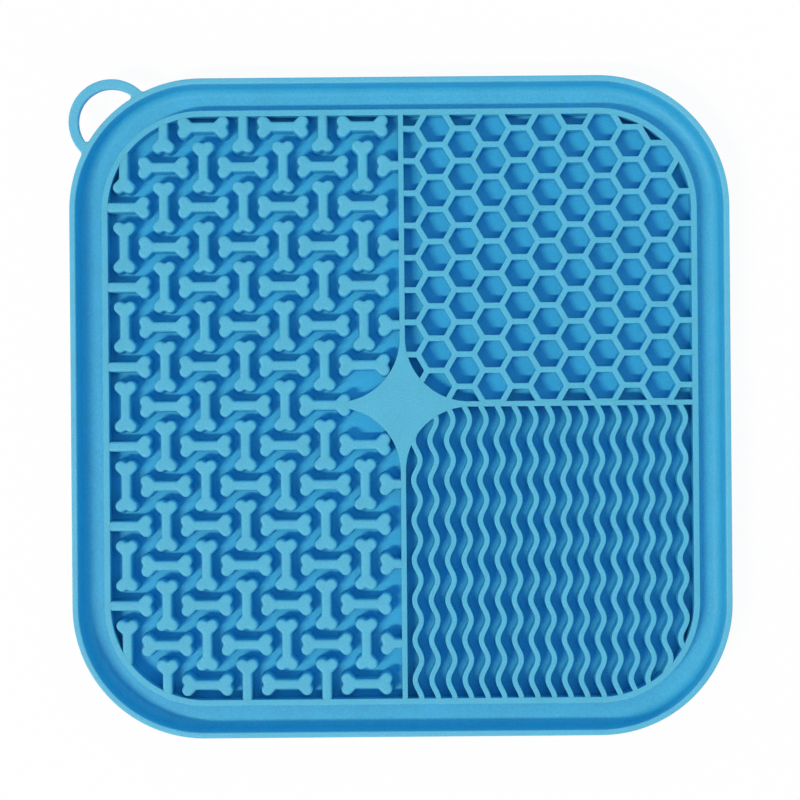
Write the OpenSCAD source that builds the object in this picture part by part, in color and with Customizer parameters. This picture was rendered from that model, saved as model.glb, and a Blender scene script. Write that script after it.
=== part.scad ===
// Square silicone lick mat: a shallow tray whose floor carries four relief fields.
// The mat lies in the XY plane with the reliefs facing +Z and its cups on the floor at Z = 0.

/* [Tray] */
// Side of the square mat, measured over the rim
mat_side = 200; // [170:5:240]
// Radius of the mat's outer corners
corner_r = 40; // [36:1:48]
// Thickness of the flat sheet
sheet_t = 2; // [1.4:0.1:3]
// Height of the rim above the floor of the fields
rim_rise = 8.5; // [7:0.25:10]
// Width of the rim's flat lip
lip_w = 1.8; // [1.4:0.1:2.4]
// Sideways lean of the rim's inner wall from the lip down to the fillet
rim_lean = 0.6; // [0:0.1:1]
// Height of the trough's floor above the floor of the fields
trough_rise = 1.25; // [0.5:0.25:2]
// Radius of the concave fillet between the rim and the trough
rim_fillet_r = 2.75; // [2:0.25:3.5]
// Radius on the edges of the rim's lip
lip_edge_r = 0.4; // [0.2:0.1:0.6]

/* [Inner frame] */
// Distance from the mat's edge to the outer face of the inner frame
frame_inset = 9.5; // [9:0.5:13]
// Width of the inner frame's wall
frame_w = 1.8; // [1.2:0.1:2.4]
// Height of every relief above the floor of the fields
relief_h = 6; // [4:0.25:7]
// Radius on the top edges of the frame and the dividers
relief_edge_r = 0.3; // [0.15:0.05:0.5]

/* [Dividers and star] */
// Width of the walls between the fields
divider_w = 1.8; // [1.2:0.1:2.4]
// Reach of the star's arms from its own middle
star_reach = 20.3; // [16:0.1:23]
// Place of the star's middle along X, from the middle of the mat
star_x = 0.6; // [-1:0.1:1]
// Place of the star's middle along Y, from the middle of the mat
star_y = 0.7; // [-1:0.1:1]

/* [Bones] */
// Overall length of one bone
bone_len = 15.6; // [14:0.1:16]
// Radius of a bone's four lobes
lobe_r = 1.8; // [1.5:0.05:1.9]
// Distance of a lobe's centre from the bone's long axis
lobe_offset = 1.6; // [1.4:0.05:1.8]
// Width of a bone's shank
shank_w = 3; // [2:0.1:3.2]
// Spacing of the bones in both directions
bone_pitch = 12.12; // [12:0.02:13]
// Sideways shift of the bones' grid from the star's middle
bone_shift = 0.5; // [0:0.1:1]

/* [Honeycomb] */
// Spacing of the hexagons across their flats
cell_pitch = 9.81; // [8:0.01:12]
// Thickness of the honeycomb's walls
cell_wall = 1.75; // [1.2:0.05:2.2]
// Centre of the honeycomb's first cell along X, from the star's middle
cell_start_x = 1.9; // [0:0.1:4]
// Centre of the honeycomb's first cell along Y, from the star's middle
cell_start_y = 0.45; // [0:0.05:4]

/* [Wave ribs] */
// Spacing of the wave ribs
wave_pitch = 5.05; // [4.6:0.05:7]
// Width of a wave rib
wave_w = 1.7; // [1.2:0.1:2]
// Distance from one bend of a rib to the next like it
wave_period = 12.14; // [10:0.02:14]
// Swing of a rib to each side of its middle line
wave_swing = 1; // [0.6:0.05:1.2]
// Distance of the first rib's middle line from the star's middle
wave_start_x = 4.1; // [4:0.1:6]
// Distance of the ribs' first bend from the star's middle
wave_start_y = 4.9; // [3:0.1:8]

/* [Hanging loop] */
// Outer radius of the loop
loop_r = 13; // [11:0.2:15]
// Width of the loop's band
loop_w = 3; // [2.5:0.25:4]
// Thickness of the loop
loop_t = 3; // [2:0.25:4]
// Radius that rounds off both tips of the loop's opening
loop_tip_r = 1; // [0.5:0.1:1.5]
// Radius on the outer edges of the loop
loop_edge_r = 0.5; // [0.2:0.1:0.8]

/* [Suction cups] */
// Radius of a cup over its lip
cup_r = 9; // [7:0.5:12]
// Height of a cup, from the floor to the sheet
cup_h = 2.5; // [2:0.25:4]
// Width of the flat ring on which a cup stands
cup_lip_w = 0.8; // [0.6:0.1:1.2]
// Thickness of a cup's lip
cup_lip_t = 0.5; // [0.3:0.1:0.8]
// Radius of a cup's neck
cup_neck_r = 4.5; // [3.5:0.5:5.5]
// Depth of the hollow under a cup
cup_hollow = 1.2; // [0.8:0.1:1.4]
// Spacing of the cups in both directions
cup_pitch = 30; // [26:1:34]

/* [Hidden] */
$fn = 48;
silicone = [0.39, 0.74, 0.86];
silicone_low = [0.3, 0.68, 0.84];
// Length by which a cutting shape passes the surface that it cuts
overrun = 1;

half = mat_side / 2;
floor_z = cup_h + sheet_t;
rim_top_z = floor_z + rim_rise;
frame_out = half - frame_inset;
frame_in = frame_out - frame_w;
frame_out_r = corner_r - frame_inset;
frame_in_r = frame_out_r - frame_w;
divider_half = divider_w / 2;
star_arc_r = star_reach - divider_half;

// Length of the bones' heads up to the centres of their lobes
lobe_x = bone_len / 2 - lobe_r;
bone_cols = ceil(frame_in / bone_pitch);
bone_half_w = lobe_offset + lobe_r;

cell_column = cell_pitch * sqrt(3) / 2;
cell_hole_r = (cell_pitch - cell_wall) / sqrt(3);
cell_count = ceil(frame_in / cell_column);

// Number of steps in one period of a rib's outline
wave_steps = 12;
wave_step = wave_period / wave_steps;
wave_points_n = ceil((frame_in + star_y) / wave_step);
// Room for the ribs' middle lines to the right of the first one
wave_room = frame_in - star_x - wave_start_x - wave_swing - wave_w / 2;
wave_ribs_n = floor(wave_room / wave_pitch);

// The loop's circle touches the two sides of the square that holds the mat
loop_c = half - loop_r;
corner_c = half - corner_r;
loop_in_r = loop_r - loop_w;
loop_gap = (loop_c - corner_c) * sqrt(2);

cups_side = 2 * floor((half - cup_r) / cup_pitch);

// Rectangle that stands on Y = 0 and has both its top corners rounded
module rounded_top_2d(width, height, edge_r) {
    square([width, height - edge_r]);
    translate([edge_r, height - edge_r]) square([width - 2 * edge_r, edge_r]);
    for (x = [edge_r, width - edge_r])
        translate([x, height - edge_r]) circle(edge_r);
}

// Sweeps a profile round a square with rounded corners.
// The profile's X is the distance inwards from the square's outline.
module sweep_round(side_half, round_r) {
    for (turn = [0 : 90 : 270])
        rotate(turn) {
            rotate([90, 0, 0])
                linear_extrude(2 * (side_half - round_r), center = true)
                    translate([side_half, 0]) mirror([1, 0]) children();
            translate([side_half - round_r, side_half - round_r])
                rotate_extrude(angle = 90)
                    translate([round_r, 0]) mirror([1, 0]) children();
        }
}

module rounded_square_2d(side_half, round_r) {
    straight = 2 * (side_half - round_r);
    square([2 * side_half, straight], center = true);
    square([straight, 2 * side_half], center = true);
    for (x = [-1, 1], y = [-1, 1])
        translate([x * straight / 2, y * straight / 2]) circle(round_r, $fn = 96);
}

module star_2d() {
    translate([star_x, star_y])
        difference() {
            square(2 * star_reach, center = true);
            for (x = [-1, 1], y = [-1, 1])
                translate([x * star_reach, y * star_reach]) circle(star_arc_r, $fn = 96);
        }
}

// Area of the right-hand field above (side 1) or below (side -1) the right divider
module right_field_2d(side) {
    difference() {
        intersection() {
            rounded_square_2d(frame_in, frame_in_r);
            translate([star_x + divider_half, star_y + (side > 0 ? divider_half : -divider_half - half)])
                square(half);
        }
        star_2d();
    }
}

module base_sheet() {
    color(silicone_low) translate([0, 0, cup_h])
        linear_extrude(sheet_t) rounded_square_2d(half, corner_r);
}

// The rim's foot carries the floor of the trough and ends at the frame's outer face
module rim_profile_2d() {
    foot = lip_w + rim_lean;
    toe = foot + rim_fillet_r;
    difference() {
        polygon([[0, 0], [0, rim_rise - lip_edge_r], [lip_w, rim_rise - lip_edge_r],
                 [foot, trough_rise + rim_fillet_r], [toe, trough_rise],
                 [frame_inset, trough_rise], [frame_inset, 0]]);
        translate([toe, trough_rise + rim_fillet_r]) circle(rim_fillet_r);
    }
    translate([0, rim_rise - 2 * lip_edge_r])
        rounded_top_2d(lip_w, 2 * lip_edge_r, lip_edge_r);
}

module outer_rim() {
    color(silicone) translate([0, 0, floor_z])
        sweep_round(half, corner_r) rim_profile_2d();
}

module inner_frame() {
    color(silicone) translate([0, 0, floor_z])
        sweep_round(frame_out, frame_out_r) rounded_top_2d(frame_w, relief_h, relief_edge_r);
}

// Straight wall from an arm of the star to a given distance from the star's middle
module divider(turn, to) {
    translate([star_x, star_y, floor_z]) rotate(turn)
        translate([to, 0]) rotate([90, 0, -90])
            linear_extrude(to - star_reach)
                translate([-divider_half, 0]) rounded_top_2d(divider_w, relief_h, relief_edge_r);
}

module upper_divider() {
    color(silicone) divider(90, frame_in - star_y);
}

module lower_divider() {
    color(silicone) divider(-90, frame_in + star_y);
}

module right_divider() {
    color(silicone) divider(0, frame_in - star_x);
}

// Flat outline of a bone that lies along X
module bone_2d() {
    square([2 * lobe_x, shank_w], center = true);
    for (x = [-1, 1], y = [-1, 1])
        translate([x * lobe_x, y * lobe_offset]) {
            circle(lobe_r);
            rotate(x > 0 ? y * 45 + 180 : -y * 45)
                translate([0, -lobe_r]) square([lobe_offset * sqrt(2), 2 * lobe_r]);
        }
}

// Middle of a bone, counted leftwards and upwards from the star
function bone_at(i, j) = [star_x + bone_shift - i * bone_pitch, star_y + j * bone_pitch];
function lies(i, j) = (i + j) % 2 == 0;

// How far a point lies outside a square with rounded corners, below zero if inside
function outside(p, side_half, round_r) =
    let (u = abs(p.x) - side_half + round_r, v = abs(p.y) - side_half + round_r)
    (u > 0 && v > 0 ? norm([u, v]) : max(u, v)) - round_r;

// Whether a point lies on the star
function on_star(p) =
    let (u = star_reach - abs(p.x - star_x), v = star_reach - abs(p.y - star_y))
    min(u, v) > 0 && norm([u, v]) > star_arc_r;

function is_bone(i, j) =
    let (p = bone_at(i, j))
    outside(p, frame_in, frame_in_r) < 0 && !on_star(p)
    && (i > 0 || (lies(i, j) && abs(p.y - star_y) > star_reach));

// Whether a bone stands clear of the frame, the dividers and the star
function is_free(i, j) =
    let (p = bone_at(i, j),
         reach = lies(i, j) ? [bone_len / 2, bone_half_w] : [bone_half_w, bone_len / 2],
         corners = [for (x = [-1, 1], y = [-1, 1]) [p.x + x * reach.x, p.y + y * reach.y]])
    max([for (c = corners) outside(c, frame_in, frame_in_r)]) < 0
    && p.x + reach.x < star_x - divider_half
    && len([for (c = corners) if (on_star(c)) c]) == 0;

module bones_2d(lying, free) {
    for (i = [0 : bone_cols], j = [-bone_cols : bone_cols])
        if (is_bone(i, j) && lies(i, j) == lying && is_free(i, j) == free)
            translate(bone_at(i, j)) rotate(lying ? 0 : 90) bone_2d();
}

module lying_bones() {
    color(silicone) translate([0, 0, floor_z]) linear_extrude(relief_h) bones_2d(true, true);
}

module upright_bones() {
    color(silicone) translate([0, 0, floor_z]) linear_extrude(relief_h) bones_2d(false, true);
}

// Bones that run into the frame, the upper and lower dividers or the star
module edge_bones() {
    color(silicone) translate([0, 0, floor_z]) linear_extrude(relief_h)
        difference() {
            intersection() {
                union() {
                    bones_2d(true, false);
                    bones_2d(false, false);
                }
                rounded_square_2d(frame_in, frame_in_r);
                translate([star_x - divider_half - mat_side, -half]) square(mat_side);
            }
            star_2d();
        }
}

// The star's left arm ends at the head of the bone beside it. The bar inside the arm
// keeps the two joined when the star is made smaller.
module center_star() {
    bone = bone_at(2, 0);
    color(silicone) translate([0, 0, floor_z]) linear_extrude(relief_h)
        difference() {
            union() {
                star_2d();
                translate([bone.x + lobe_x, star_y - divider_half / 2])
                    square([star_x - bone.x - lobe_x, divider_half]);
            }
            translate(bone) bone_2d();
            translate([bone.x - bone_len / 2, star_y - star_reach])
                square([bone_len / 2 + lobe_x, 2 * star_reach]);
        }
}

module honeycomb() {
    color(silicone) translate([0, 0, floor_z]) linear_extrude(relief_h)
        difference() {
            right_field_2d(1);
            for (column = [0 : cell_count], row = [0 : cell_count])
                translate([star_x + cell_start_x + column * cell_column,
                           star_y + cell_start_y + (row + (column % 2) / 2) * cell_pitch])
                    circle(cell_hole_r, $fn = 6);
        }
}

// Place across a rib of one of its edges: side is 1 on the right and -1 on the left.
// The slope widens the cut across the rib, so that its wall keeps one thickness.
function wave_edge(y, side) =
    let (turn = 360 * (y + wave_start_y) / wave_period,
         slope = wave_swing * sin(turn) * 2 * PI / wave_period)
    wave_swing * cos(turn) + side * wave_w / 2 * sqrt(1 + slope * slope);

// Flat outline of one rib, which waves about X = 0 and runs from Y = 0 downwards
module wave_2d() {
    ys = [for (n = [0 : wave_points_n]) -n * wave_step];
    polygon(concat([for (y = ys) [wave_edge(y, -1), y]],
                   [for (n = [wave_points_n : -1 : 0]) [wave_edge(ys[n], 1), ys[n]]]));
}

module wave_ribs() {
    color(silicone) translate([0, 0, floor_z]) linear_extrude(relief_h)
        intersection() {
            right_field_2d(-1);
            for (rib = [0 : wave_ribs_n])
                translate([star_x + wave_start_x + rib * wave_pitch, star_y]) wave_2d();
        }
}

// Place of the small circle that rounds a tip of the loop's opening.
// X runs from the loop's centre away from the mat's corner, and Y along the rim.
function tip_centre() =
    let (a = loop_in_r - loop_tip_r, b = corner_r + loop_tip_r,
         x = (b * b - a * a - loop_gap * loop_gap) / (2 * loop_gap))
    [x, sqrt(a * a - x * x)];

// Opening of the loop: a crescent between the loop's band and the rim
module loop_opening_2d() {
    tip = tip_centre();
    band_touch = tip * loop_in_r / norm(tip);
    from_corner = tip + [loop_gap, 0];
    rim_touch = from_corner * corner_r / norm(from_corner) - [loop_gap, 0];
    difference() {
        intersection() {
            circle(loop_in_r, $fn = 96);
            polygon([rim_touch, band_touch, [loop_r, band_touch.y], [loop_r, -band_touch.y],
                     [band_touch.x, -band_touch.y], [rim_touch.x, -rim_touch.y]]);
        }
        translate([-loop_gap, 0]) circle(corner_r, $fn = 96);
    }
    for (side = [-1, 1])
        translate([tip.x, side * tip.y]) circle(loop_tip_r);
}

// Disc from which the loop is cut, with both its edges rounded
module loop_disc() {
    side_x = loop_r - loop_edge_r;
    rotate_extrude($fn = 96) {
        square([side_x, loop_t]);
        translate([side_x, loop_edge_r]) square([loop_edge_r, loop_t - 2 * loop_edge_r]);
        for (z = [loop_edge_r, loop_t - loop_edge_r])
            translate([side_x, z]) circle(loop_edge_r, $fn = 24);
    }
}

module hanging_loop() {
    color(silicone) translate([-loop_c, loop_c, rim_top_z - loop_t]) rotate(135)
        difference() {
            loop_disc();
            translate([0, 0, -overrun]) linear_extrude(loop_t + 2 * overrun) {
                loop_opening_2d();
                translate([-loop_gap, 0]) circle(corner_r, $fn = 96);
            }
        }
}

module cup() {
    dome_r = ((cup_r - cup_lip_w) * (cup_r - cup_lip_w) + cup_hollow * cup_hollow)
             / (2 * cup_hollow);
    shoulder_z = (cup_h + cup_hollow) / 2;
    difference() {
        rotate_extrude()
            polygon([[0, 0], [cup_r, 0], [cup_r, cup_lip_t], [cup_neck_r, shoulder_z],
                     [cup_neck_r, cup_h], [0, cup_h]]);
        translate([0, 0, cup_hollow - dome_r]) sphere(dome_r, $fn = 96);
    }
}

module suction_cups() {
    color(silicone_low)
        for (i = [1 : cups_side], j = [1 : cups_side])
            translate([(i - (cups_side + 1) / 2) * cup_pitch, (j - (cups_side + 1) / 2) * cup_pitch])
                cup();
}

base_sheet();
outer_rim();
hanging_loop();
inner_frame();
upper_divider();
lower_divider();
right_divider();
center_star();
lying_bones();
upright_bones();
edge_bones();
honeycomb();
wave_ribs();
suction_cups();
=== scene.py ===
import math

import bpy
import numpy as np
from mathutils import Matrix, Vector, geometry


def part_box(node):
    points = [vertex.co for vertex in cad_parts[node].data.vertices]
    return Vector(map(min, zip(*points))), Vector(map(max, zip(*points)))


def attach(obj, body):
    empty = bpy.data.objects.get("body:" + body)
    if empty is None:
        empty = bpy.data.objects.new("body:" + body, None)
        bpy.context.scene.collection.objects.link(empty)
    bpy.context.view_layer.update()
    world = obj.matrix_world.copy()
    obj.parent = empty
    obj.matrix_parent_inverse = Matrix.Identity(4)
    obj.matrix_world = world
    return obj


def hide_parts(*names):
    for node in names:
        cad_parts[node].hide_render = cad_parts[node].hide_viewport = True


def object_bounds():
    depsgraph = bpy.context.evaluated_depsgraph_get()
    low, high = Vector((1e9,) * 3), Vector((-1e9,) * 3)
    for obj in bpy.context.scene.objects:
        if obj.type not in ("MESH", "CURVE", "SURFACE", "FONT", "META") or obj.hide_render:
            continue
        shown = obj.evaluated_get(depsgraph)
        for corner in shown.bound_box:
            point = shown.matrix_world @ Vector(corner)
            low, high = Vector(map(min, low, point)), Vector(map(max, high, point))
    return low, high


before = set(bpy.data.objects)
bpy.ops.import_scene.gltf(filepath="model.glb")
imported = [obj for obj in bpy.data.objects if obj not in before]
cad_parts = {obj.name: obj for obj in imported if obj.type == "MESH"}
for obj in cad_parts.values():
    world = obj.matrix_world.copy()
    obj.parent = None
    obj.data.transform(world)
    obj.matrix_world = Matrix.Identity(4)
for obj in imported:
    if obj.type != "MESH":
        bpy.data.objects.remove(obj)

cad_low, cad_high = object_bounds()

MM = 0.001

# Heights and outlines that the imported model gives
HALF = cad_high.x
TOP_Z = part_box("outer_rim")[1].z
FLOOR_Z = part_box("base_sheet")[1].z
SHEET_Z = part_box("base_sheet")[0].z
RELIEF_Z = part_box("inner_frame")[1].z
LOOP_LOW_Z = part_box("hanging_loop")[0].z
FRAME_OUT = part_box("inner_frame")[1].x
FRAME_W = 1.8 * MM
FRAME_IN = FRAME_OUT - FRAME_W

# Middle of the star, from which all the fields are laid out
upper_low, upper_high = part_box("upper_divider")
right_low, right_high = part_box("right_divider")
STAR_AT = np.array([upper_low.x + upper_high.x, right_low.y + right_high.y]) / 2
STAR_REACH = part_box("center_star")[1].y - STAR_AT[1]
# The dividers' soft feet and edges widen them for the eye, so each side is moved in a little
SLIMMER = 0.09 * MM
DIVIDER_HALF = (right_high.y - right_low.y) / 2 - SLIMMER

# Outline of the tray
CORNER_R = 40 * MM
FRAME_OUT_R = CORNER_R - (HALF - FRAME_OUT)
FRAME_IN_R = FRAME_OUT_R - FRAME_W
LIP_W = 1.8 * MM
RIM_EDGE_R = 0.4 * MM
RIM_LEAN = 0.6 * MM
RIM_FILLET_R = 2.75 * MM
FRAME_COVE_R = 0.9 * MM
TROUGH_RISE = 1.25 * MM
TROUGH_Z = FLOOR_Z + TROUGH_RISE

# Bones
BONE_LEN = 15.6 * MM
LOBE_R = 1.8 * MM
LOBE_OFFSET = 1.6 * MM
SHANK_W = 3.0 * MM
BONE_PITCH = 12.12 * MM
BONE_SHIFT = 0.5 * MM
NOTCH_R = 1.0 * MM
FLARE_R = 0.6 * MM

# Honeycomb
CELL_PITCH = 9.81 * MM
CELL_WALL = 1.75 * MM
CELL_START = np.array([1.9, 0.45]) * MM
CELL_CORNER_R = 0.5 * MM

# Wave ribs
WAVE_PITCH = 5.05 * MM
WAVE_W = 1.6 * MM
WAVE_PERIOD = 12.14 * MM
WAVE_SWING = 1.0 * MM
WAVE_START = np.array([4.1, 4.9]) * MM
WAVE_STEPS = 24

# Hanging loop
LOOP_R = 13.0 * MM
LOOP_W = 3.0 * MM
LOOP_TIP_R = 1.0 * MM
LOOP_WEB_R = 1.2 * MM

# Suction cups
CUP_R = 9 * MM
CUP_LIP_W = 0.8 * MM
CUP_LIP_T = 0.5 * MM
CUP_EDGE = 0.2 * MM
CUP_NECK_R = 4.5 * MM
CUP_HOLLOW = 1.2 * MM
CUP_PITCH = 30 * MM
CUPS_SIDE = 6
CUP_STEPS = 40

# Softness of the moulding: the bones are cushioned, all other reliefs have crisp edges
BONE_EDGE_R = 0.9 * MM
BONE_DRAFT = 0.25 * MM
EDGE_R = 0.2 * MM
FOOT_R = 0.2 * MM
DRAFT = 0.03 * MM
SLAB_EDGE_R = 0.5 * MM
# Steps of each rounding and of the larger arcs
ROUND_STEPS = 5
FIELD_STEPS = 24
TRAY_STEPS = 40
# The least turn in degrees that makes a corner worth rounding, how much of an edge its rounding
# may take, and how far a mitre may reach
LEAST_TURN = 20
EDGE_SHARE = 0.45
MOST_MITRE = 2.5
# How far a relief runs into the wall that it joins, how far the rim and the cups run into the
# sheet, and how far a relief's top lies below the top of the wall that it joins
BURY = 0.8 * MM
ROOT = 0.2 * MM
STEP_DOWN = 0.01 * MM
# Cut-off remains with a smaller inscribed circle, and points with a smaller gap, are left out
LEAST_INRADIUS = 0.2 * MM
LEAST_GAP = 0.01 * MM

# The silicone's clouds and grain
CLOUD_SIZE = 9 * MM
GRAIN_SIZE = 0.5 * MM
GRAIN_HEIGHT = 0.1 * MM

# Half side of the floor, and how much of it the camera sees as plain white without a shadow
FLOOR_HALF = 4.0
PLAIN_WHITE_SHARE = 0.95

# The camera's distance from the rim's top, the width that it sees there, how far it stands off
# the mat's middle, and its turn in degrees
CAMERA_ABOVE = 0.64
SEEN_W = 242.2 * MM
CAMERA_OFF = (-0.26 * MM, 2.06 * MM)
CAMERA_TURN = -0.48


def rotated(points, degrees):
    turn = math.radians(degrees)
    c, s = math.cos(turn), math.sin(turn)
    return np.asarray(points) @ np.array([[c, s], [-s, c]])


def arc(centre, radius, start, end, steps):
    """Points on an arc, both ends included, with the angles in degrees."""
    turns = np.radians(np.linspace(start, end, steps + 1))
    return np.asarray(centre) + radius * np.c_[np.cos(turns), np.sin(turns)]


def rounded_square(half, radius, steps=FIELD_STEPS):
    """A square with rounded corners, anticlockwise."""
    c = half - radius
    corners = [(c, c), (-c, c), (-c, -c), (c, -c)]
    return np.vstack([arc(p, radius, 90 * n, 90 * n + 90, steps) for n, p in enumerate(corners)])


def area(loop):
    x, y = loop.T
    return 0.5 * float(np.sum(x * np.roll(y, -1) - y * np.roll(x, -1)))


def distinct(loop):
    """The loop without points that lie on the one before."""
    return loop[np.linalg.norm(loop - np.roll(loop, 1, 0), axis=1) > LEAST_GAP]


def cut_by_line(loop, a, b):
    """The parts of an anticlockwise loop that lie to the left of the line from a to b."""
    along = b - a
    side = along[0] * (loop[:, 1] - a[1]) - along[1] * (loop[:, 0] - a[0])
    if side.min() >= 0:
        return [loop]
    if side.max() < 0:
        return []
    first = int(np.argmax(side < 0))
    loop, side = np.roll(loop, -first, 0), np.roll(side, -first)
    chains = []
    for p, q, side_p, side_q in zip(loop, np.roll(loop, -1, 0), side, np.roll(side, -1)):
        if side_p >= 0:
            chains[-1].append(p)
        if (side_p >= 0) != (side_q >= 0):
            crossing = p + side_p / (side_p - side_q) * (q - p)
            if side_q >= 0:
                chains.append([])
            chains[-1].append(crossing)
    parts = []
    while chains:
        part = chains.pop()
        while True:
            leaves = along @ (part[-1] - a)
            entries = [(along @ (c[0] - a), n) for n, c in enumerate([part] + chains)]
            ahead = [e for e in entries if e[0] > leaves] or [(0, 0)]
            following = min(ahead)[1]
            if following == 0:
                break
            part = part + chains.pop(following - 1)
        parts.append(np.array(part))
    return parts


def clip_to_convex(loop, region):
    """The parts of a loop that lie inside an anticlockwise convex region."""
    parts = [loop]
    for a, b in zip(region, np.roll(region, -1, 0)):
        parts = [kept for part in parts for kept in cut_by_line(part, a, b)]
    parts = [distinct(part) for part in parts]
    return [part for part in parts if len(part) > 2 and inradius(part) > LEAST_INRADIUS]


def round_corners(loop, radius):
    """Rounds each corner of a loop that turns by more than the least turn."""
    out = []
    for before, p, after in zip(np.roll(loop, 1, 0), loop, np.roll(loop, -1, 0)):
        u, v = before - p, after - p
        lu, lv = np.linalg.norm(u), np.linalg.norm(v)
        u, v = u / lu, v / lv
        turn = math.pi - math.acos(max(-1, min(1, float(u @ v))))
        if math.degrees(turn) < LEAST_TURN:
            out.append(p)
            continue
        run = min(radius * math.tan(turn / 2), EDGE_SHARE * lu, EDGE_SHARE * lv)
        r = run / math.tan(turn / 2)
        bisector = (u + v) / np.linalg.norm(u + v)
        centre = p + bisector * math.hypot(run, r)
        first, last = p + u * run - centre, p + v * run - centre
        a0, a1 = math.atan2(first[1], first[0]), math.atan2(last[1], last[0])
        swing = (a1 - a0 + math.pi) % (2 * math.pi) - math.pi
        for t in np.linspace(0, 1, ROUND_STEPS + 1):
            a = a0 + swing * t
            out.append(centre + r * np.array([math.cos(a), math.sin(a)]))
    return np.array(out)


def outward(loop):
    """For each point, the unit normal away from the solid and the mitre's length."""
    ahead = np.roll(loop, -1, 0) - loop
    ahead /= np.linalg.norm(ahead, axis=1)[:, None]
    normal = np.c_[ahead[:, 1], -ahead[:, 0]]
    both = normal + np.roll(normal, 1, 0)
    length = np.linalg.norm(both, axis=1)
    return both / length[:, None], np.minimum(2 / length, MOST_MITRE)


def inradius(loop):
    around = np.linalg.norm(loop - np.roll(loop, 1, 0), axis=1).sum()
    return 2 * abs(area(loop)) / around


def inside(points, loops):
    """Whether each point lies in the area that the loops bound, by the even-odd rule."""
    x, y = points.T
    odd = np.zeros(len(points), bool)
    for loop in loops:
        for (ax, ay), (bx, by) in zip(loop, np.roll(loop, -1, 0)):
            if ay != by:
                odd ^= ((ay > y) != (by > y)) & (x < ax + (y - ay) * (bx - ax) / (by - ay))
    return odd


def cap_faces(loops):
    """Triangles between the loops, as numbers of their points counted through all loops."""
    points = np.vstack(loops)
    edges, start = [], 0
    for loop in loops:
        n = len(loop)
        edges += [(start + i, start + (i + 1) % n) for i in range(n)]
        start += n
    in_mm = [Vector(p / MM) for p in points]
    _, _, faces, origin, _, _ = geometry.delaunay_2d_cdt(in_mm, edges, [], 0, 1e-6)
    faces = [[origin[i][0] for i in face] for face in faces]
    centres = np.array([points[face].mean(0) for face in faces])
    return [face for face, kept in zip(faces, inside(centres, loops)) if kept]


def soft_top(low, high, edge_r=EDGE_R, draft=DRAFT):
    """Wall from its foot to its top, as (offset from the outline, height, tilt of the normal)."""
    rows = [(draft + FOOT_R, low - FOOT_R / 4, 90)]
    for t in np.linspace(0, 90, ROUND_STEPS + 1):
        a = math.radians(t)
        rows.append((draft + FOOT_R * (1 - math.sin(a)), low + FOOT_R * (1 - math.cos(a)), 90 - t))
    for t in np.linspace(0, 90, ROUND_STEPS + 1):
        a = math.radians(t)
        rows.append((edge_r * (math.cos(a) - 1), high + edge_r * (math.sin(a) - 1), t))
    return rows


def soft_slab(low, high):
    """Wall of a slab whose lower and upper edges are both rounded."""
    rows = []
    for z, first in ((low + SLAB_EDGE_R, -90), (high - SLAB_EDGE_R, 0)):
        for t in np.linspace(first, first + 90, ROUND_STEPS + 1):
            a = math.radians(t)
            rows.append((SLAB_EDGE_R * (math.cos(a) - 1), z + SLAB_EDGE_R * math.sin(a), t))
    return rows


class Shape:
    """Gathers points, normals and faces of one piece."""

    def __init__(self):
        self.points, self.normals, self.faces = [], [], []

    def ring(self, xy, z, tilt, direction):
        a = math.radians(tilt)
        first = len(self.points)
        self.points += [(x, y, z) for x, y in xy]
        flat = direction * math.cos(a)
        self.normals += [(x, y, math.sin(a)) for x, y in flat]
        return list(range(first, first + len(xy)))

    def join(self, low, high):
        for i in range(len(low)):
            j = (i + 1) % len(low)
            self.faces.append((low[i], low[j], high[j], high[i]))

    def wall(self, loop, rows, reach, hold):
        """One wall along a loop. Reach scales its foot. It gives its first and last ring."""
        direction, mitre = outward(loop)
        rings = []
        for offset, z, tilt in rows:
            grown = offset * (reach if offset > 0 else 1)
            xy = loop + direction * (mitre * grown)[:, None]
            xy = hold(xy) if hold else xy
            rings.append(self.ring(xy, z, tilt, direction))
        for low, high in zip(rings, rings[1:]):
            self.join(low, high)
        return rings[0], rings[-1]

    def prism(self, loops, rows, under=False, hold=None):
        """A solid that the loops bound: the outer one anticlockwise and holes clockwise.

        Where it is given, hold moves the points that lie too far out.
        """
        made = []
        for loop in loops:
            reach = min(1.0, 0.5 * inradius(loop) / rows[0][0]) if area(loop) < 0 else 1.0
            made.append(self.wall(loop, rows, reach, hold))
        caps = cap_faces(loops)
        top = [n for m in made for n in m[1]]
        self.faces += [tuple(top[i] for i in f) for f in caps]
        if under:
            bottom = [n for m in made for n in m[0]]
            self.faces += [tuple(bottom[i] for i in f[::-1]) for f in caps]

    def piece(self, name, nodes, material):
        mesh = bpy.data.meshes.new(name)
        mesh.from_pydata(self.points, [], self.faces)
        mesh.polygons.foreach_set("use_smooth", [True] * len(mesh.polygons))
        mesh.update()
        mesh.normals_split_custom_set_from_vertices(self.normals)
        mesh.materials.append(material)
        obj = bpy.data.objects.new(name, mesh)
        bpy.context.scene.collection.objects.link(obj)
        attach(obj, "root")
        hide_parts(*nodes)


def bone_outline():
    """A bone that lies along X: two lobes at each end, 45 degree flares and a straight shank."""
    lobe_x = BONE_LEN / 2 - LOBE_R
    notch = math.degrees(math.asin(LOBE_OFFSET / (LOBE_R + NOTCH_R)))
    notch_x = lobe_x + math.sqrt((LOBE_R + NOTCH_R) ** 2 - LOBE_OFFSET ** 2)
    flare_x = lobe_x - LOBE_R * math.sqrt(2) - LOBE_OFFSET + SHANK_W / 2
    quarter = np.vstack([
        arc((notch_x, 0), NOTCH_R, 180, 180 - notch, 5),
        arc((lobe_x, LOBE_OFFSET), LOBE_R, -notch, 135, 20),
        [(flare_x, SHANK_W / 2)],
    ])
    upper = distinct(np.vstack([quarter, (quarter * (-1, 1))[::-1]]))
    return round_corners(distinct(np.vstack([upper, -upper])), FLARE_R)


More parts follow.
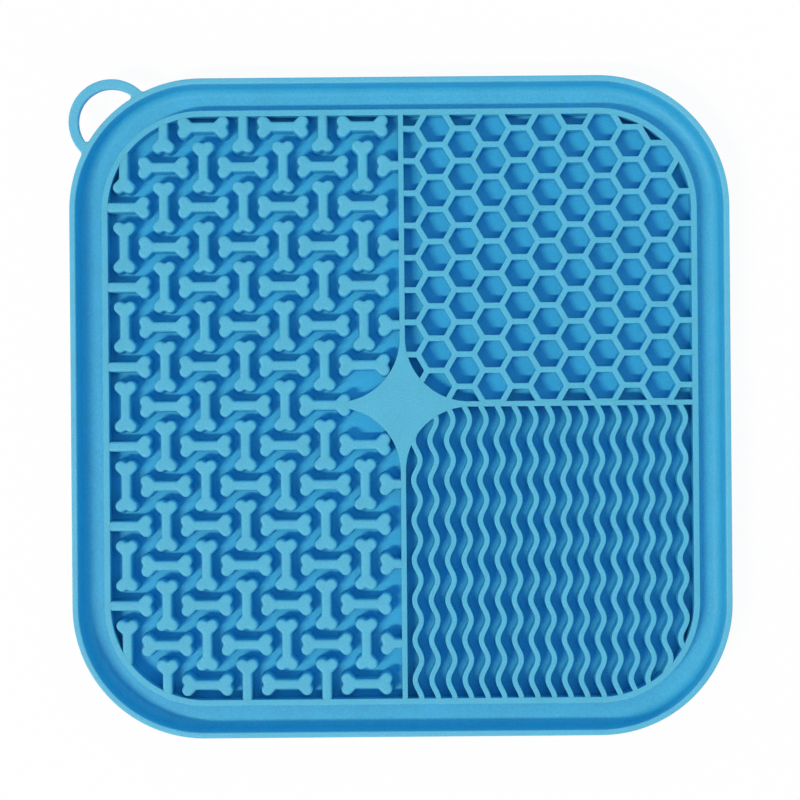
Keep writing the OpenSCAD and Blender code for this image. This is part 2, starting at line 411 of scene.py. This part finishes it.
def bone_at(i, j):
    """Middle of a bone, counted leftwards and upwards from the star."""
    return STAR_AT + (BONE_SHIFT - i * BONE_PITCH, j * BONE_PITCH)


def outside(p, half, radius):
    """How far a point lies outside a square with rounded corners."""
    u, v = abs(p[0]) - half + radius, abs(p[1]) - half + radius
    return (math.hypot(u, v) if u > 0 and v > 0 else max(u, v)) - radius


def on_star(p):
    u, v = STAR_REACH - np.abs(p - STAR_AT)
    return min(u, v) > 0 and math.hypot(u, v) > STAR_REACH - DIVIDER_HALF


def past_wall(p):
    """How far a point of the bones' field lies inside the frame or the dividers."""
    return max(outside(p, FRAME_IN, FRAME_IN_R), p[0] - STAR_AT[0] + DIVIDER_HALF)


def held_in_wall(axis):
    """Moves points along an axis, so that none lies deeper than BURY in the walls round the bones."""
    half, radius = FRAME_IN + BURY, FRAME_IN_R + BURY

    def hold(points):
        held = points.copy()
        round_part = np.maximum(np.abs(points[:, 1 - axis]) - half + radius, 0)
        limit = half - radius + np.sqrt(np.maximum(radius ** 2 - round_part ** 2, 0))
        held[:, axis] = np.clip(points[:, axis], -limit, limit)
        held[:, 0] = np.minimum(held[:, 0], STAR_AT[0] - DIVIDER_HALF + BURY)
        return held

    return hold


def stub_outline(outline):
    """The bone's right head, with a straight shank that runs on to the left."""
    head = outline[outline[:, 0] > 0]
    end = np.array([(-BONE_LEN, SHANK_W / 2), (-BONE_LEN, -SHANK_W / 2)])
    return np.vstack([head[head[:, 1] >= 0], end, head[head[:, 1] < 0]])


def stub_at(at, turn, stub):
    """The stub with its straight end in a wall, or None where no end of the bone lies in one."""
    for way in (turn, turn + 180):
        laid = rotated(stub, way) + at
        tail = at - rotated([(BONE_LEN / 2 - LOBE_R, 0)], way)[0]
        if past_wall(tail) > 0 and max(past_wall(p) for p in laid[stub[:, 0] > 0]) < BURY:
            return laid
    return None


def bones():
    """Each bone as (kind, outline, hold), cut off inside the wall that it runs into."""
    outline = bone_outline()
    stub = stub_outline(outline)
    field = rounded_square(FRAME_IN + BURY, FRAME_IN_R + BURY)
    field[:, 0] = np.minimum(field[:, 0], STAR_AT[0] + BURY - DIVIDER_HALF)
    field = distinct(field)
    count = math.ceil(FRAME_IN / BONE_PITCH)
    for i in range(count + 1):
        for j in range(-count, count + 1):
            at, lying = bone_at(i, j), (i + j) % 2 == 0
            if outside(at, FRAME_IN, FRAME_IN_R) >= 0 or on_star(at):
                continue
            if i == 0 and not (lying and abs(at[1] - STAR_AT[1]) > STAR_REACH):
                continue
            turn = 0 if lying else 90
            bone = stub_at(at, turn, stub)
            if bone is not None:
                yield "edge_bones", bone, held_in_wall(0 if lying else 1)
                continue
            bone = rotated(outline, turn) + at
            cut = max(past_wall(p) for p in bone) > 0 or (i, abs(j)) == (1, 1)
            kind = "edge_bones" if cut else "lying_bones" if lying else "upright_bones"
            for part in clip_to_convex(bone, field) if cut else [bone]:
                yield kind, part, None


def build_bones(material):
    shapes = {name: Shape() for name in ("lying_bones", "upright_bones", "edge_bones")}
    for kind, loop, hold in bones():
        top = RELIEF_Z - STEP_DOWN * (2 if kind == "edge_bones" else 1)
        shapes[kind].prism([loop], soft_top(FLOOR_Z, top, BONE_EDGE_R, BONE_DRAFT), hold=hold)
    for name, shape in shapes.items():
        shape.piece("soft_" + name, [name], material)


def quarter_field(grow, x_side, y_side):
    """Outline of one right-hand field, grown into the walls round it. It is convex."""
    side = np.array([x_side, y_side])
    inner = DIVIDER_HALF - grow
    star = arc((STAR_REACH, STAR_REACH), STAR_REACH - inner, 180, 270, FIELD_STEPS) * side + STAR_AT
    c = FRAME_IN - FRAME_IN_R
    corner = arc((c, c), FRAME_IN_R + grow, 0, 90, FIELD_STEPS) * side
    end = (FRAME_IN + grow) * side
    loop = np.vstack([star, [(end[0], star[-1][1])], corner, [(star[0][0], end[1])]])
    return loop if area(loop) > 0 else loop[::-1]


def honeycomb_cells(region):
    """The honeycomb's cells as clockwise loops, cut off at the region's edge."""
    column_w = CELL_PITCH * math.sqrt(3) / 2
    hexagon = arc((0, 0), (CELL_PITCH - CELL_WALL) / math.sqrt(3), 0, 300, 5)
    count = math.ceil(FRAME_IN / column_w)
    for column in range(count + 1):
        for row in range(-1, count + 1):
            at = STAR_AT + CELL_START + (column * column_w, (row + column % 2 / 2) * CELL_PITCH)
            for cell in clip_to_convex(hexagon + at, region):
                yield round_corners(cell, CELL_CORNER_R)[::-1]


def build_honeycomb(material):
    """The lattice. Its cells run only half as far into the walls as its outer edge."""
    shape = Shape()
    cells = list(honeycomb_cells(quarter_field(0.5 * BURY, 1, 1)))
    loops = [quarter_field(BURY, 1, 1)] + cells
    shape.prism(loops, soft_top(FLOOR_Z, RELIEF_Z - 2 * STEP_DOWN))
    shape.piece("soft_honeycomb", ["honeycomb"], material)


def wave_outline():
    """One rib, which waves about X = 0 and runs downwards, with one thickness all along."""
    count = math.ceil((FRAME_IN + 2 * BURY) / WAVE_PERIOD * WAVE_STEPS) + 1
    y = -np.arange(-1, count) * WAVE_PERIOD / WAVE_STEPS
    turn = 2 * math.pi * (y + WAVE_START[1]) / WAVE_PERIOD
    slope = WAVE_SWING * np.sin(turn) * 2 * math.pi / WAVE_PERIOD
    middle, across = WAVE_SWING * np.cos(turn), WAVE_W / 2 * np.sqrt(1 + slope ** 2)
    return np.vstack([np.c_[middle - across, y], np.c_[middle + across, y][::-1]])


def build_wave_ribs(material):
    shape, outline = Shape(), wave_outline()
    region = quarter_field(BURY, 1, -1)
    room = FRAME_IN - STAR_AT[0] - WAVE_START[0] - WAVE_SWING - WAVE_W / 2
    for rib in range(int(room / WAVE_PITCH) + 1):
        at = STAR_AT + (WAVE_START[0] + rib * WAVE_PITCH, 0)
        for loop in clip_to_convex(outline + at, region):
            shape.prism([loop], soft_top(FLOOR_Z, RELIEF_Z - 2 * STEP_DOWN))
    shape.piece("soft_wave_ribs", ["wave_ribs"], material)


def build_star(material):
    """Four concave arcs. The left arm ends inside the head of the bone beside it."""
    radius = STAR_REACH - DIVIDER_HALF
    arcs = [arc((x * STAR_REACH, y * STAR_REACH), radius, start, start - 90, FIELD_STEPS)
            for x, y, start in ((1, 1, 270), (-1, 1, 360), (-1, -1, 90), (1, -1, 180))]
    loop = np.vstack(arcs) + STAR_AT
    loop[:, 0] = np.maximum(loop[:, 0], bone_at(2, 0)[0] + BONE_LEN / 2 - LOBE_R)
    shape = Shape()
    shape.prism([distinct(loop)], soft_top(FLOOR_Z, RELIEF_Z))
    shape.piece("soft_center_star", ["center_star"], material)


def build_dividers(material):
    for name, turn in (("right_divider", 0), ("upper_divider", 90), ("lower_divider", -90)):
        start = rotated([(STAR_REACH - BURY, 0)], turn)[0] + STAR_AT
        along = rotated([(1, 0)], turn)[0]
        run = along * (FRAME_IN + BURY - start @ along)
        across = DIVIDER_HALF * rotated([(0, 1)], turn)[0]
        bar = np.array([start - across, start + run - across, start + run + across, start + across])
        shape = Shape()
        shape.prism([bar], soft_top(FLOOR_Z, RELIEF_Z - STEP_DOWN))
        shape.piece("soft_" + name, [name], material)


def build_frame(material):
    loops = [rounded_square(FRAME_OUT, FRAME_OUT_R), rounded_square(FRAME_IN, FRAME_IN_R)[::-1]]
    shape = Shape()
    shape.prism(loops, soft_top(FLOOR_Z, RELIEF_Z))
    shape.piece("soft_inner_frame", ["inner_frame"], material)


def rim_profile():
    """Closed section of the rim and the trough's floor, from the foot outside.

    Its rows are (inset, height, tilt of the normal). It ends inside the wall of the frame.
    """
    foot, end = LIP_W + RIM_LEAN, HALF - FRAME_OUT
    rows = [(0, FLOOR_Z - ROOT, 0)]
    for t in np.linspace(0, 90, 6):
        a = math.radians(t)
        rows.append((RIM_EDGE_R * (1 - math.cos(a)), TOP_Z - RIM_EDGE_R * (1 - math.sin(a)), t))
    wall_tilt = math.degrees(math.atan2(RIM_LEAN, TOP_Z - TROUGH_Z - RIM_FILLET_R))
    for t in np.linspace(90, 180 - wall_tilt, 6):
        a = math.radians(t)
        rows.append((LIP_W - RIM_EDGE_R * (1 + math.cos(a)), TOP_Z - RIM_EDGE_R * (1 - math.sin(a)), t))
    for t in np.linspace(180 - wall_tilt, 90, 13):
        a = math.radians(t)
        rows.append((foot + RIM_FILLET_R * (1 + math.cos(a)),
                     TROUGH_Z + RIM_FILLET_R * (1 - math.sin(a)), t))
    for t in np.linspace(90, 15, 9):
        a = math.radians(t)
        rows.append((end + FRAME_COVE_R * (math.cos(a) - 1),
                     TROUGH_Z + FRAME_COVE_R * (1 - math.sin(a)), t))
    rows.append((end + BURY, TROUGH_Z, 0))
    rows.append((end + BURY, FLOOR_Z - RIM_EDGE_R, -90))
    return rows


def build_rim(material):
    shape = Shape()
    rings = []
    for inset, z, tilt in rim_profile():
        loop = rounded_square(HALF - inset, CORNER_R - inset, TRAY_STEPS)
        direction, _ = outward(loop)
        rings.append(shape.ring(loop, z, tilt, direction))
    for low, high in zip(rings, rings[1:] + rings[:1]):
        shape.join(low, high)
    shape.piece("soft_outer_rim", ["outer_rim"], material)


def loop_outlines():
    """Band and opening of the hanging loop. X runs from the mat's corner to the loop's top."""
    gap = (CORNER_R - LOOP_R) * math.sqrt(2)
    inner_r = LOOP_R - LOOP_W

    def tangent_circle(from_loop, from_corner):
        x = (from_corner ** 2 - from_loop ** 2 - gap ** 2) / (2 * gap)
        return x, math.sqrt(from_loop ** 2 - x ** 2)

    def bearing(x, y):
        return math.degrees(math.atan2(y, x))

    web = tangent_circle(LOOP_R + LOOP_WEB_R, CORNER_R + LOOP_WEB_R)
    to_loop, to_corner = bearing(*web), bearing(web[0] + gap, web[1])
    end = CORNER_R - 0.8 * LIP_W
    upper = np.vstack([
        arc((0, 0), LOOP_R, 0, to_loop, 30),
        arc(web, LOOP_WEB_R, to_loop + 180, to_corner + 180, 8),
        arc((-gap, 0), end, to_corner, 0, 12),
    ])
    band = distinct(np.vstack([upper, (upper * (1, -1))[::-1]]))
    tip = tangent_circle(inner_r - LOOP_TIP_R, CORNER_R + LOOP_TIP_R)
    to_loop, to_corner = bearing(*tip), bearing(tip[0] + gap, tip[1])
    upper = np.vstack([
        arc((0, 0), inner_r, 0, to_loop, 24),
        arc(tip, LOOP_TIP_R, to_loop, to_corner + 180, 10),
        arc((-gap, 0), CORNER_R, to_corner, 0, 12),
    ])
    opening = distinct(np.vstack([upper, (upper * (1, -1))[::-1]]))
    return band, opening[::-1]


def build_loop(material):
    centre = np.array([-1, 1]) * (HALF - LOOP_R)
    loops = [rotated(loop, 135) + centre for loop in loop_outlines()]
    shape = Shape()
    shape.prism(loops, soft_slab(LOOP_LOW_Z, TOP_Z - STEP_DOWN), under=True)
    shape.piece("soft_hanging_loop", ["hanging_loop"], material)


def build_sheet(material):
    shape = Shape()
    outline = rounded_square(HALF, CORNER_R, TRAY_STEPS)
    shape.prism([outline], soft_slab(SHEET_Z, FLOOR_Z), under=True)
    shape.piece("soft_base_sheet", ["base_sheet"], material)


def cup_section():
    """Section of a cup as (radius, height), from the middle of its hollow to its root."""
    inner_r = CUP_R - CUP_LIP_W
    hollow = [(s * inner_r, CUP_HOLLOW * (1 - s ** 2)) for s in (0.02, 0.15, 0.4, 0.65, 0.85)]
    lip = [(inner_r, 0), (CUP_R - CUP_EDGE, 0), (CUP_R, CUP_EDGE), (CUP_R - CUP_EDGE / 2, CUP_LIP_T)]
    cone = [(0.7 * CUP_R, 0.85 * MM), (0.58 * CUP_R, 1.4 * MM), (CUP_NECK_R, 2.0 * MM)]
    return hollow + lip + cone + [(CUP_NECK_R, SHEET_Z + ROOT)]


def build_cups(material):
    shape, rows = Shape(), cup_section()
    tilts = [math.degrees(math.atan2(r - r_next, z_next - z))
             for (r, z), (r_next, z_next) in zip(rows, rows[1:])] + [0]
    first = (1 - CUPS_SIDE) / 2
    for n in range(CUPS_SIDE ** 2):
        centre = np.array([first + n // CUPS_SIDE, first + n % CUPS_SIDE]) * CUP_PITCH
        rings = []
        for (r, z), tilt in zip(rows, tilts):
            circle = arc(centre, r, 0, 360 * (1 - 1 / CUP_STEPS), CUP_STEPS - 1)
            direction, _ = outward(circle)
            rings.append(shape.ring(circle, z, tilt, direction))
        for low, high in zip(rings, rings[1:]):
            shape.join(low, high)
        shape.faces.append(tuple(rings[0][::-1]))
        shape.faces.append(tuple(rings[-1]))
    shape.piece("soft_suction_cups", ["suction_cups"], material)


def node_input(node, name, value):
    node.inputs[name].default_value = value


def colour_by_height(tree, place, stops):
    """The stops give the colour at each height, as (height, colour) from the lowest up."""
    split = tree.nodes.new("ShaderNodeSeparateXYZ")
    tree.links.new(place.outputs["Object"], split.inputs[0])
    height = tree.nodes.new("ShaderNodeMapRange")
    tree.links.new(split.outputs["Z"], height.inputs["Value"])
    node_input(height, "From Max", TOP_Z)
    ramp = tree.nodes.new("ShaderNodeValToRGB")
    tree.links.new(height.outputs[0], ramp.inputs[0])
    marks = ramp.color_ramp.elements
    while len(marks) < len(stops):
        marks.new(1)
    for mark, (z, colour) in zip(marks, stops):
        mark.position = z / TOP_Z
        mark.color = (*colour, 1)
    return ramp.outputs["Color"]


def noise(tree, place, size, detail, roughness):
    """Noise whose coarsest features are about as wide as the size."""
    texture = tree.nodes.new("ShaderNodeTexNoise")
    tree.links.new(place.outputs["Object"], texture.inputs["Vector"])
    node_input(texture, "Scale", 1 / size)
    node_input(texture, "Detail", detail)
    node_input(texture, "Roughness", roughness)
    return texture.outputs["Fac"]


def factor_from(tree, value, low, high, share):
    """Maps the values from low to high onto factors that stray from 1 by the share at most."""
    factor = tree.nodes.new("ShaderNodeMapRange")
    tree.links.new(value, factor.inputs["Value"])
    node_input(factor, "From Min", low)
    node_input(factor, "From Max", high)
    node_input(factor, "To Min", 1 - share)
    node_input(factor, "To Max", 1 + share)
    return factor.outputs[0]


def silicone(name, stops):
    """Matte translucent silicone with faint clouds and a fine grain. Its colour goes by height, and the
    stops paint shade there: deeper colour on the walls and floors below the pale tops.
    """
    material = bpy.data.materials.new(name)
    material.use_nodes = True
    tree = material.node_tree
    link = tree.links.new
    shader = tree.nodes["Principled BSDF"]
    node_input(shader, "Roughness", 0.5)
    node_input(shader, "IOR", 1.41)
    node_input(shader, "Specular IOR Level", 0.25)
    node_input(shader, "Subsurface Weight", 0.35)
    node_input(shader, "Subsurface Radius", (0.25, 0.7, 1.0))
    node_input(shader, "Subsurface Scale", 2.0 * MM)

    place = tree.nodes.new("ShaderNodeTexCoord")
    cloud = noise(tree, place, CLOUD_SIZE, 6.0, 0.65)
    grain = noise(tree, place, GRAIN_SIZE, 4.0, 0.5)
    both = tree.nodes.new("ShaderNodeMath")
    both.operation = "MULTIPLY"
    link(factor_from(tree, cloud, 0.0, 1.0, 0.1), both.inputs[0])
    link(factor_from(tree, grain, 0.3, 0.7, 0.1), both.inputs[1])
    vary = tree.nodes.new("ShaderNodeVectorMath")
    vary.operation = "SCALE"
    link(colour_by_height(tree, place, stops), vary.inputs[0])
    link(both.outputs[0], vary.inputs["Scale"])
    link(vary.outputs[0], shader.inputs["Base Color"])

    bump = tree.nodes.new("ShaderNodeBump")
    node_input(bump, "Strength", 0.25)
    node_input(bump, "Distance", GRAIN_HEIGHT)
    link(grain, bump.inputs["Height"])
    link(bump.outputs[0], shader.inputs["Normal"])
    return material


def seen_as_background(tree):
    """Socket that is 1 for the rays that show the background, and 0 for those that light the mat."""
    path = tree.nodes.new("ShaderNodeLightPath")
    seen = path.outputs["Is Camera Ray"]
    for kind in ("Is Glossy Ray", "Is Transmission Ray"):
        either = tree.nodes.new("ShaderNodeMath")
        either.operation = "MAXIMUM"
        tree.links.new(seen, either.inputs[0])
        tree.links.new(path.outputs[kind], either.inputs[1])
        seen = either.outputs[0]
    return seen


def build_stage():
    """White floor. The camera sees it mostly as plain white, with a light shadow of the mat."""
    mesh = bpy.data.meshes.new("floor")
    corners = [(x * FLOOR_HALF, y * FLOOR_HALF, 0) for x, y in ((-1, -1), (1, -1), (1, 1), (-1, 1))]
    mesh.from_pydata(corners, [], [(0, 1, 2, 3)])
    floor = bpy.data.objects.new("floor", mesh)
    bpy.context.scene.collection.objects.link(floor)
    material = bpy.data.materials.new("white_floor")
    material.use_nodes = True
    tree = material.node_tree
    tree.nodes.clear()
    link = tree.links.new
    paper = tree.nodes.new("ShaderNodeBsdfDiffuse")
    node_input(paper, "Color", (0.9, 0.9, 0.9, 1))
    glow = tree.nodes.new("ShaderNodeEmission")
    share = tree.nodes.new("ShaderNodeMath")
    share.operation = "MULTIPLY"
    share.inputs[1].default_value = PLAIN_WHITE_SHARE
    mix = tree.nodes.new("ShaderNodeMixShader")
    out = tree.nodes.new("ShaderNodeOutputMaterial")
    link(seen_as_background(tree), share.inputs[0])
    link(share.outputs[0], mix.inputs[0])
    link(paper.outputs[0], mix.inputs[1])
    link(glow.outputs[0], mix.inputs[2])
    link(mix.outputs[0], out.inputs["Surface"])
    mesh.materials.append(material)


def area_lamp(name, place, size_x, size_y, colour, power):
    """A rectangular lamp that shines at the middle of the mat. Its long side lies along X."""
    light = bpy.data.lights.new(name, "AREA")
    light.shape = "RECTANGLE"
    light.size, light.size_y = size_x, size_y
    light.color = colour
    light.energy = power
    lamp = bpy.data.objects.new(name, light)
    away = Vector(place).normalized()
    up = away.cross(Vector((1, 0, 0))).normalized()
    lamp.matrix_world = Matrix((up.cross(away), up, away)).transposed().to_4x4()
    lamp.location = place
    bpy.context.scene.collection.objects.link(lamp)


def build_light():
    """A warm key, a weak near lamp and a cool fill, which together light a level surface white."""
    area_lamp("key", place=(-1.41, -1.04, 2.5), size_x=1.03, size_y=0.2,
              colour=(1, 0.66, 0.42), power=83.1)
    area_lamp("near", place=(0.22, 0.2, 0.42), size_x=0.35, size_y=0.35,
              colour=(1, 0.85, 0.46), power=0.416)
    world = bpy.data.worlds.new("studio")
    bpy.context.scene.world = world
    world.use_nodes = True
    tree = world.node_tree
    fill = tree.nodes["Background"]
    node_input(fill, "Color", (0.206, 0.635, 1, 1))
    node_input(fill, "Strength", 0.63)
    white = tree.nodes.new("ShaderNodeBackground")
    node_input(white, "Color", (1, 1, 1, 1))
    node_input(white, "Strength", 1.0)
    mix = tree.nodes.new("ShaderNodeMixShader")
    tree.links.new(seen_as_background(tree), mix.inputs[0])
    tree.links.new(fill.outputs[0], mix.inputs[1])
    tree.links.new(white.outputs[0], mix.inputs[2])
    tree.links.new(mix.outputs[0], tree.nodes["World Output"].inputs["Surface"])


def build_camera():
    """Straight above the mat, a little off its middle and turned a little."""
    camera = bpy.data.cameras.new("camera")
    camera.lens = camera.sensor_width * CAMERA_ABOVE / SEEN_W
    holder = bpy.data.objects.new("camera", camera)
    holder.location = (*CAMERA_OFF, TOP_Z + CAMERA_ABOVE)
    holder.rotation_euler = (0, 0, math.radians(CAMERA_TURN))
    bpy.context.scene.collection.objects.link(holder)
    bpy.context.scene.camera = holder


# The tops are pale, and the walls and floors below them are painted deeper and bluer: painted shade
# that stands in for the shade and the blue bounced light in the recesses
PALE = (0.103, 0.48, 0.685)
LIP = (0.125, 0.505, 0.71)
PAINTED_SHADE_TROUGH = (0.068, 0.47, 0.74)
PAINTED_SHADE_WALL = (0.043, 0.45, 0.74)
PAINTED_SHADE_DEEP = (0.034, 0.445, 0.775)

# Painted shade: deeper colour on the reliefs' walls and the floors below the pale tops; the underside
# takes the trough's colour
relief_silicone = silicone("relief_silicone", [
    (FLOOR_Z - 0.5 * MM, PAINTED_SHADE_TROUGH), (FLOOR_Z - 0.05 * MM, PAINTED_SHADE_DEEP),
    (RELIEF_Z - 1.2 * MM, PAINTED_SHADE_DEEP), (RELIEF_Z - 0.2 * MM, PALE)])
# Painted shade: the trough and the rim's inner wall deeper in colour, the lip pale
tray_silicone = silicone("tray_silicone", [
    (TROUGH_Z + 0.1 * MM, PAINTED_SHADE_TROUGH), (TROUGH_Z + 1.5 * MM, PAINTED_SHADE_WALL),
    (TOP_Z - 1.5 * MM, PAINTED_SHADE_WALL), (TOP_Z - 0.3 * MM, LIP)])

build_sheet(relief_silicone)
build_rim(tray_silicone)
build_loop(tray_silicone)
build_frame(relief_silicone)
build_dividers(relief_silicone)
build_star(relief_silicone)
build_bones(relief_silicone)
build_honeycomb(relief_silicone)
build_wave_ribs(relief_silicone)
build_cups(relief_silicone)

build_stage()
build_light()
build_camera()
bpy.context.scene.view_settings.view_transform = "Standard"
